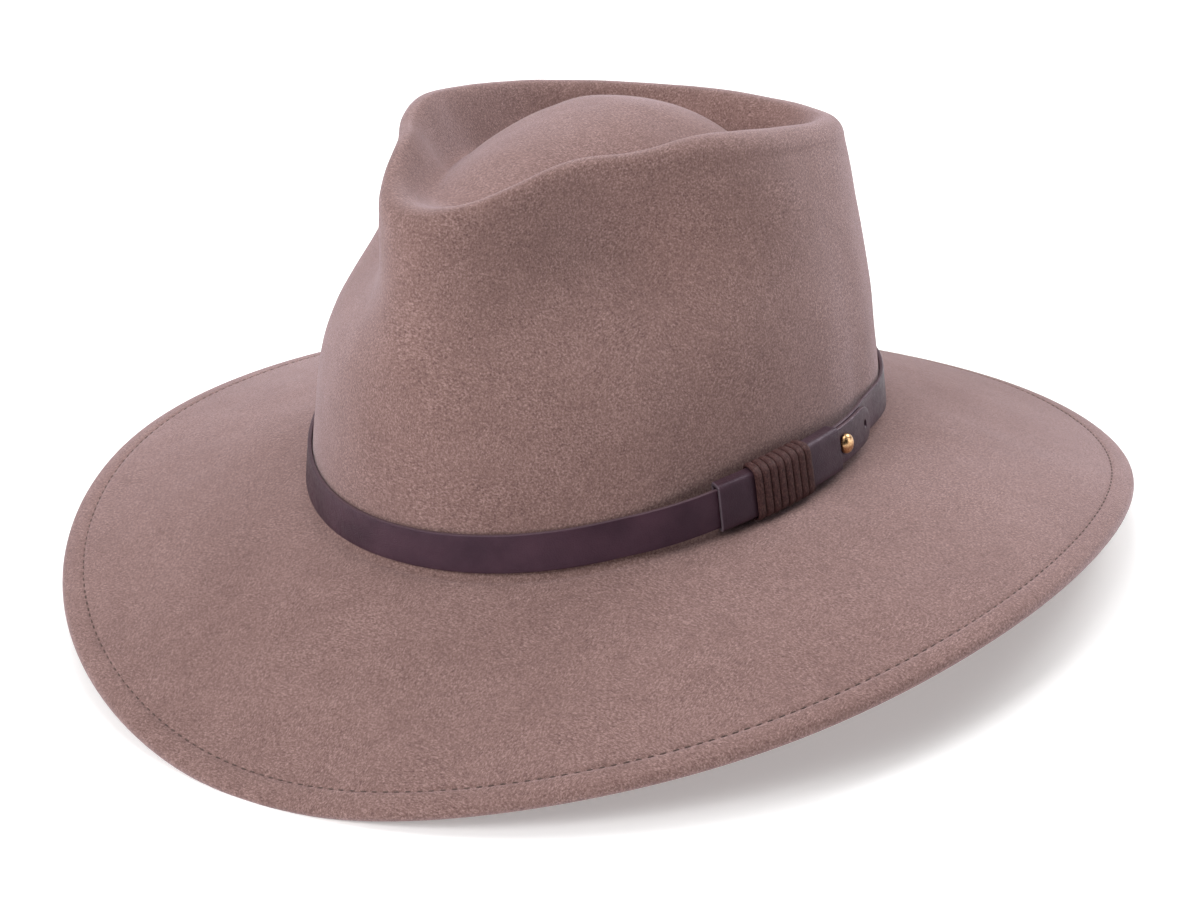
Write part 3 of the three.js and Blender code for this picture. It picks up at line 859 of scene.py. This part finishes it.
def lay_map(piece, points, along, size):
    """Map with the lace's length on one axis and its girth on the other."""
    girth = np.tile(np.arange(size) / size, len(points) // size)
    layer = piece.data.uv_layers.new(name="lay")
    corners = np.empty(len(piece.data.loops), dtype=np.int32)
    piece.data.loops.foreach_get("vertex_index", corners)
    pairs = np.stack([along[corners], girth[corners]], axis=1)
    layer.data.foreach_set("uv", pairs.astype(np.float32).ravel())


def winding_point(bearing, grow, share):
    """Point at a share of the way round the fastening, by length."""
    section = np.array(fastening_section(bearing, grow))
    following = np.roll(section, -1, axis=0)
    lengths = np.linalg.norm(following - section, axis=1)
    travelled = np.concatenate([[0], np.cumsum(lengths)])
    goal = share * travelled[-1]
    ring = np.vstack([section, section[:1]])
    return (
        float(np.interp(goal, travelled, ring[:, 0])),
        float(np.interp(goal, travelled, ring[:, 1])),
    )


def stud(material):
    start = inner_layer_off(STUD_BEARING)
    under = LAYER_PITCH + STRAP_THICKNESS + CLEARANCE
    profile = [
        (STUD_BASE_RADIUS - 0.15, -CLEARANCE - STUD_BASE_THICKNESS),
        (STUD_BASE_RADIUS, -CLEARANCE - STUD_BASE_THICKNESS + 0.15),
        (STUD_BASE_RADIUS, -CLEARANCE - 0.15),
        (STUD_BASE_RADIUS - 0.15, -CLEARANCE),
        (STUD_NECK_RADIUS, -CLEARANCE),
        (STUD_NECK_RADIUS, under),
        (STUD_HEAD_RADIUS - 0.2, under),
        (STUD_HEAD_RADIUS, under + 0.12),
        (STUD_HEAD_RADIUS, under + 0.35),
    ]
    for step in range(1, 12):
        turn = math.pi / 2 * step / 12
        rise = (STUD_HEAD_HEIGHT - 0.35) * math.sin(turn)
        profile.append((STUD_HEAD_RADIUS * math.cos(turn), under + 0.35 + rise))
    profile.append((0.05, under + STUD_HEAD_HEIGHT))
    piece = turned("stud_brass_head", STUD_BEARING, start, profile, 48, material)
    return dress(piece, "stud_brass", "stud")


# Materials


class Nodes:
    """Short helpers over one material's node tree."""

    def __init__(self, name):
        self.material = bpy.data.materials.new(name)
        self.material.use_nodes = True
        self.tree = self.material.node_tree
        self.shader = self.tree.nodes["Principled BSDF"]
        self.place = self.tree.nodes.new("ShaderNodeTexCoord").outputs["Object"]

    def link(self, source, target):
        self.tree.links.new(source, target)

    def stretched(self, scale, turn=(0, 0, 0), source=None):
        node = self.tree.nodes.new("ShaderNodeMapping")
        node.inputs["Scale"].default_value = scale
        node.inputs["Rotation"].default_value = turn
        self.link(source or self.place, node.inputs["Vector"])
        return node.outputs["Vector"]

    def noise(self, scale, detail=3.0, rough=0.55, source=None, swirl=0.0):
        node = self.tree.nodes.new("ShaderNodeTexNoise")
        node.inputs["Scale"].default_value = scale
        node.inputs["Detail"].default_value = detail
        node.inputs["Roughness"].default_value = rough
        node.inputs["Distortion"].default_value = swirl
        self.link(source or self.place, node.inputs["Vector"])
        return node.outputs["Fac"]

    def cells(self, scale):
        node = self.tree.nodes.new("ShaderNodeTexVoronoi")
        node.feature = "DISTANCE_TO_EDGE"
        node.inputs["Scale"].default_value = scale
        self.link(self.place, node.inputs["Vector"])
        return node.outputs["Distance"]

    def ramp(self, source, *stops):
        """Colour or grey ramp over (place, value) stops."""
        node = self.tree.nodes.new("ShaderNodeValToRGB")
        ramp = node.color_ramp
        while len(ramp.elements) < len(stops):
            ramp.elements.new(0.5)
        for element, (at, value) in zip(ramp.elements, stops):
            element.position = at
            shade = (value, value, value) if isinstance(value, float) else value
            element.color = (*shade, 1)
        self.link(source, node.inputs["Fac"])
        return node.outputs["Color"]

    def sum_of(self, first, second, kind="ADD"):
        node = self.tree.nodes.new("ShaderNodeMath")
        node.operation = kind
        for socket, value in zip(node.inputs, (first, second)):
            if isinstance(value, (int, float)):
                socket.default_value = value
            else:
                self.link(value, socket)
        return node.outputs[0]

    def mixed(self, share, first, second):
        node = self.tree.nodes.new("ShaderNodeMix")
        node.data_type = "RGBA"
        for name, value in (("Factor_Float", share), ("A_Color", first), ("B_Color", second)):
            socket = next(s for s in node.inputs if s.identifier == name)
            if isinstance(value, (int, float)):
                socket.default_value = value
            elif isinstance(value, tuple):
                socket.default_value = (*value, 1)
            else:
                self.link(value, socket)
        return next(s for s in node.outputs if s.identifier == "Result_Color")

    def attribute(self, name):
        node = self.tree.nodes.new("ShaderNodeAttribute")
        node.attribute_name = name
        return node.outputs["Fac"]

    def bump(self, height, distance, strength, under=None):
        node = self.tree.nodes.new("ShaderNodeBump")
        node.inputs["Distance"].default_value = distance
        node.inputs["Strength"].default_value = strength
        self.link(height, node.inputs["Height"])
        if under is not None:
            self.link(under, node.inputs["Normal"])
        return node.outputs["Normal"]

    def finish(self, colour, roughness, normal):
        self.link(colour, self.shader.inputs["Base Color"])
        self.link(roughness, self.shader.inputs["Roughness"])
        self.link(normal, self.shader.inputs["Normal"])
        return self.material


def felt_colour(nodes):
    """Wool fibres of several browns, mottled finely and in soft larger patches."""
    speck = nodes.noise(1500, 4, 0.7)
    strand_a = nodes.noise(1.0, 3, 0.6, nodes.stretched((950, 2600, 1900), (0.3, 0.5, 0.2)))
    strand_b = nodes.noise(1.0, 3, 0.6, nodes.stretched((2600, 950, 1700), (0.2, -0.4, 0.9)))
    side = nodes.ramp(nodes.noise(42, 2, 0.5), (0.42, 0.0), (0.58, 1.0))
    strand = nodes.mixed(side, strand_a, strand_b)
    patch = nodes.noise(150, 4, 0.6, swirl=0.6)
    broad = nodes.noise(26, 3, 0.5)
    fine = nodes.sum_of(nodes.sum_of(speck, 0.5, "MULTIPLY"), nodes.sum_of(strand, 0.5, "MULTIPLY"))
    patches = nodes.sum_of(nodes.sum_of(patch, 0.5, "SUBTRACT"), PATCH_SHARE, "MULTIPLY")
    broadly = nodes.sum_of(nodes.sum_of(broad, 0.5, "SUBTRACT"), BROAD_PATCH_SHARE, "MULTIPLY")
    whole = nodes.sum_of(nodes.sum_of(fine, patches), broadly)
    colour = nodes.ramp(whole, (0.34, FELT_DARK), (0.5, FELT_MIDDLE), (0.66, FELT_LIGHT))
    return colour, speck, strand, patch


def felt_material():
    nodes = Nodes("wool_felt")
    colour, speck, strand, patch = felt_colour(nodes)
    fibres = nodes.noise(3600, 2, 0.6)
    relief = nodes.bump(speck, 0.0004, 0.4)
    relief = nodes.bump(strand, 0.0003, 0.3, relief)
    relief = nodes.bump(fibres, 0.0002, 0.35, relief)
    rough = nodes.ramp(patch, (0.3, 0.86), (0.7, 0.97))
    shader = nodes.shader
    shader.inputs["Specular IOR Level"].default_value = FELT_SPECULAR
    shader.inputs["Sheen Weight"].default_value = FELT_SHEEN_WEIGHT
    shader.inputs["Sheen Roughness"].default_value = FELT_SHEEN_ROUGHNESS
    shader.inputs["Sheen Tint"].default_value = (*FELT_SHEEN, 1)
    return nodes.finish(colour, rough, relief)


def nap_material():
    nodes = Nodes("wool_nap")
    tone = nodes.noise(900, 2, 0.6)
    colour = nodes.ramp(tone, (0.35, FELT_MIDDLE), (0.65, NAP_LIGHT))
    relief = nodes.bump(tone, 0.0001, 0.2)
    rough = nodes.ramp(tone, (0.3, 0.85), (0.7, 0.98))
    nodes.shader.inputs["Specular IOR Level"].default_value = NAP_SPECULAR
    return nodes.finish(colour, rough, relief)


def thread_material():
    nodes = Nodes("edge_thread")
    twist = nodes.noise(1.0, 2, 0.6, nodes.stretched((2600, 900, 2600), (0, 0, 0.8)))
    colour = nodes.ramp(twist, (0.35, THREAD_DARK), (0.7, THREAD_LIGHT))
    relief = nodes.bump(twist, 0.0002, 0.6)
    rough = nodes.ramp(twist, (0.3, 0.6), (0.7, 0.85))
    return nodes.finish(colour, rough, relief)


def leather_parts(nodes):
    """Grain, pores and slow changes of tone of a smooth dyed leather."""
    cells = nodes.ramp(nodes.cells(1300), (0.02, 0.0), (0.22, 1.0))
    creases = nodes.noise(520, 5, 0.62)
    tone = nodes.noise(70, 4, 0.6)
    relief = nodes.bump(cells, 0.00008, 0.5)
    relief = nodes.bump(creases, 0.00018, 0.35, relief)
    return creases, tone, relief


def strap_material():
    nodes = Nodes("strap_hide")
    creases, tone, relief = leather_parts(nodes)
    body = nodes.ramp(tone, (0.3, STRAP_DARK), (0.72, STRAP_LIGHT))
    across = nodes.sum_of(nodes.attribute("across"), 0, "ABSOLUTE")
    # Both edges of the strap are painted paler: partly the raw cut edge's own colour, partly a painted
    # highlight for the light the top edge catches
    edge = nodes.ramp(across, (0.955, 0.0), (0.995, 1.0))
    pale_edged = nodes.mixed(nodes.sum_of(edge, 0.55, "MULTIPLY"), body, CUT_EDGE_AND_HIGHLIGHT)
    rough = nodes.ramp(creases, (0.3, 0.34), (0.7, 0.5))
    nodes.shader.inputs["Specular IOR Level"].default_value = LEATHER_SPECULAR
    nodes.shader.inputs["Specular Tint"].default_value = (*LEATHER_GLOSS, 1)
    return nodes.finish(pale_edged, rough, relief)


def keeper_material():
    nodes = Nodes("keeper_hide")
    creases, tone, relief = leather_parts(nodes)
    body = nodes.ramp(tone, (0.3, KEEPER_DARK), (0.72, KEEPER_LIGHT))
    edge = nodes.ramp(nodes.attribute("from_end"), (0.0, 1.0), (0.32, 0.0))
    pale_edged = nodes.mixed(nodes.sum_of(edge, 0.6, "MULTIPLY"), body, KEEPER_CUT_EDGE)
    rough = nodes.ramp(creases, (0.3, 0.4), (0.7, 0.56))
    nodes.shader.inputs["Specular IOR Level"].default_value = LEATHER_SPECULAR
    nodes.shader.inputs["Specular Tint"].default_value = (*LEATHER_GLOSS, 1)
    return nodes.finish(pale_edged, rough, relief)


def lace_material():
    nodes = Nodes("lace_hide")
    lay = nodes.tree.nodes.new("ShaderNodeUVMap")
    lay.uv_map = "lay"
    fibre = nodes.noise(1.0, 4, 0.65, nodes.stretched((26, 34, 1), source=lay.outputs["UV"]))
    fleck = nodes.noise(1600, 4, 0.7)
    both = nodes.sum_of(nodes.sum_of(fibre, 0.55, "MULTIPLY"), nodes.sum_of(fleck, 0.45, "MULTIPLY"))
    colour = nodes.ramp(both, (0.36, LACE_DARK), (0.5, LACE_MIDDLE), (0.7, LACE_LIGHT))
    relief = nodes.bump(fibre, 0.0005, 0.8)
    relief = nodes.bump(fleck, 0.0003, 0.6, relief)
    rough = nodes.ramp(both, (0.3, 0.5), (0.7, 0.75))
    nodes.shader.inputs["Specular IOR Level"].default_value = LACE_SPECULAR
    return nodes.finish(colour, rough, relief)


def brass_material():
    nodes = Nodes("stud_metal")
    cloud = nodes.noise(900, 4, 0.6)
    scuff = nodes.noise(1.0, 4, 0.6, nodes.stretched((900, 5200, 2100), (0.2, 0.3, 0.5)))
    colour = nodes.ramp(cloud, (0.3, BRASS_DARK), (0.7, BRASS_LIGHT))
    rough = nodes.ramp(scuff, (0.3, 0.2), (0.7, 0.4))
    relief = nodes.bump(scuff, 0.00003, 0.4)
    nodes.shader.inputs["Metallic"].default_value = 1.0
    return nodes.finish(colour, rough, relief)


def floor_material():
    """Pale floor that glows a little, and more far from the hat, where the lamps don't reach."""
    nodes = Nodes("pale_floor")
    shader = nodes.shader
    shader.inputs["Base Color"].default_value = (FLOOR_GREY, FLOOR_GREY, FLOOR_GREY, 1)
    shader.inputs["Roughness"].default_value = 0.9
    shader.inputs["Specular IOR Level"].default_value = 0.1
    shader.inputs["Emission Color"].default_value = (1, 1, 1, 1)
    away = nodes.tree.nodes.new("ShaderNodeVectorMath")
    away.operation = "LENGTH"
    nodes.link(nodes.place, away.inputs[0])
    glow = nodes.tree.nodes.new("ShaderNodeMapRange")
    for name, value in zip(("From Min", "From Max", "To Min", "To Max"), FLOOR_GLOW_RANGE):
        glow.inputs[name].default_value = value
    nodes.link(away.outputs["Value"], glow.inputs["Value"])
    nodes.link(glow.outputs["Result"], shader.inputs["Emission Strength"])
    return nodes.material


# Camera, floor and lights


def camera_axes():
    azimuth = math.radians(CAMERA_AZIMUTH)
    elevation = math.radians(CAMERA_ELEVATION)
    roll = math.radians(CAMERA_ROLL)
    flat = math.cos(elevation)
    back = Vector((math.sin(azimuth) * flat, -math.cos(azimuth) * flat, math.sin(elevation)))
    level = Vector((math.cos(azimuth), math.sin(azimuth), 0))
    upright = back.cross(level)
    right = level * math.cos(roll) + upright * math.sin(roll)
    up = upright * math.cos(roll) - level * math.sin(roll)
    return right, up, back


def camera():
    right, up, back = camera_axes()
    aim = Vector((0, PART_SHIFT, CAMERA_AIM_HEIGHT))
    spot = aim - right * CAMERA_SHIFT_RIGHT - up * CAMERA_SHIFT_UP + back * CAMERA_DISTANCE
    data = bpy.data.cameras.new("photo_camera")
    data.sensor_width = SENSOR_WIDTH
    data.lens = CAMERA_PIXELS_PER_MM * CAMERA_DISTANCE * SENSOR_WIDTH / PHOTO_WIDTH
    data.clip_start = 0.01
    data.clip_end = 30
    piece = bpy.data.objects.new("photo_camera", data)
    bpy.context.scene.collection.objects.link(piece)
    columns = (right, up, back)
    for row in range(3):
        for column in range(3):
            piece.matrix_world[row][column] = columns[column][row]
        piece.matrix_world[row][3] = spot[row] * MM
    bpy.context.scene.camera = piece


def floor(material):
    half = FLOOR_HALF
    corners = [(-half, -half, 0), (half, -half, 0), (half, half, 0), (-half, half, 0)]
    piece = new_object("studio_floor", corners, [(0, 1, 2, 3)], material, smooth=False)


def softbox(name, direction, power):
    data = bpy.data.lights.new(name, "AREA")
    data.shape = "SQUARE"
    data.size = SOFTBOX_SIZE
    data.energy = power
    piece = bpy.data.objects.new(name, data)
    bpy.context.scene.collection.objects.link(piece)
    toward = Vector(direction).normalized()
    piece.location = Vector(SOFTBOX_AIM) + toward * SOFTBOX_DISTANCE
    piece.rotation_euler = toward.to_track_quat("Z", "Y").to_euler()


def lights():
    """Softboxes named by where they stand as the camera sees them."""
    right, _, back = camera_axes()
    for name, (sideways, nearer, higher, power) in SOFTBOXES.items():
        softbox(name, right * sideways + back * nearer + Vector((0, 0, higher)), power)
    world = bpy.data.worlds.new("studio")
    world.use_nodes = True
    shade = world.node_tree.nodes["Background"]
    shade.inputs["Color"].default_value = (1, 1, 1, 1)
    shade.inputs["Strength"].default_value = 1.0
    for kind in ("diffuse", "glossy", "transmission", "scatter"):
        setattr(world.cycles_visibility, kind, False)
    bpy.context.scene.world = world
    bpy.context.scene.view_settings.view_transform = "Standard"


camera()
lights()
floor(floor_material())
felt_body(felt_material())
nap(nap_material())
stitches(thread_material())
band_strap(strap_material())
keeper(keeper_material())
thong_wrap(lace_material())
stud(brass_material())
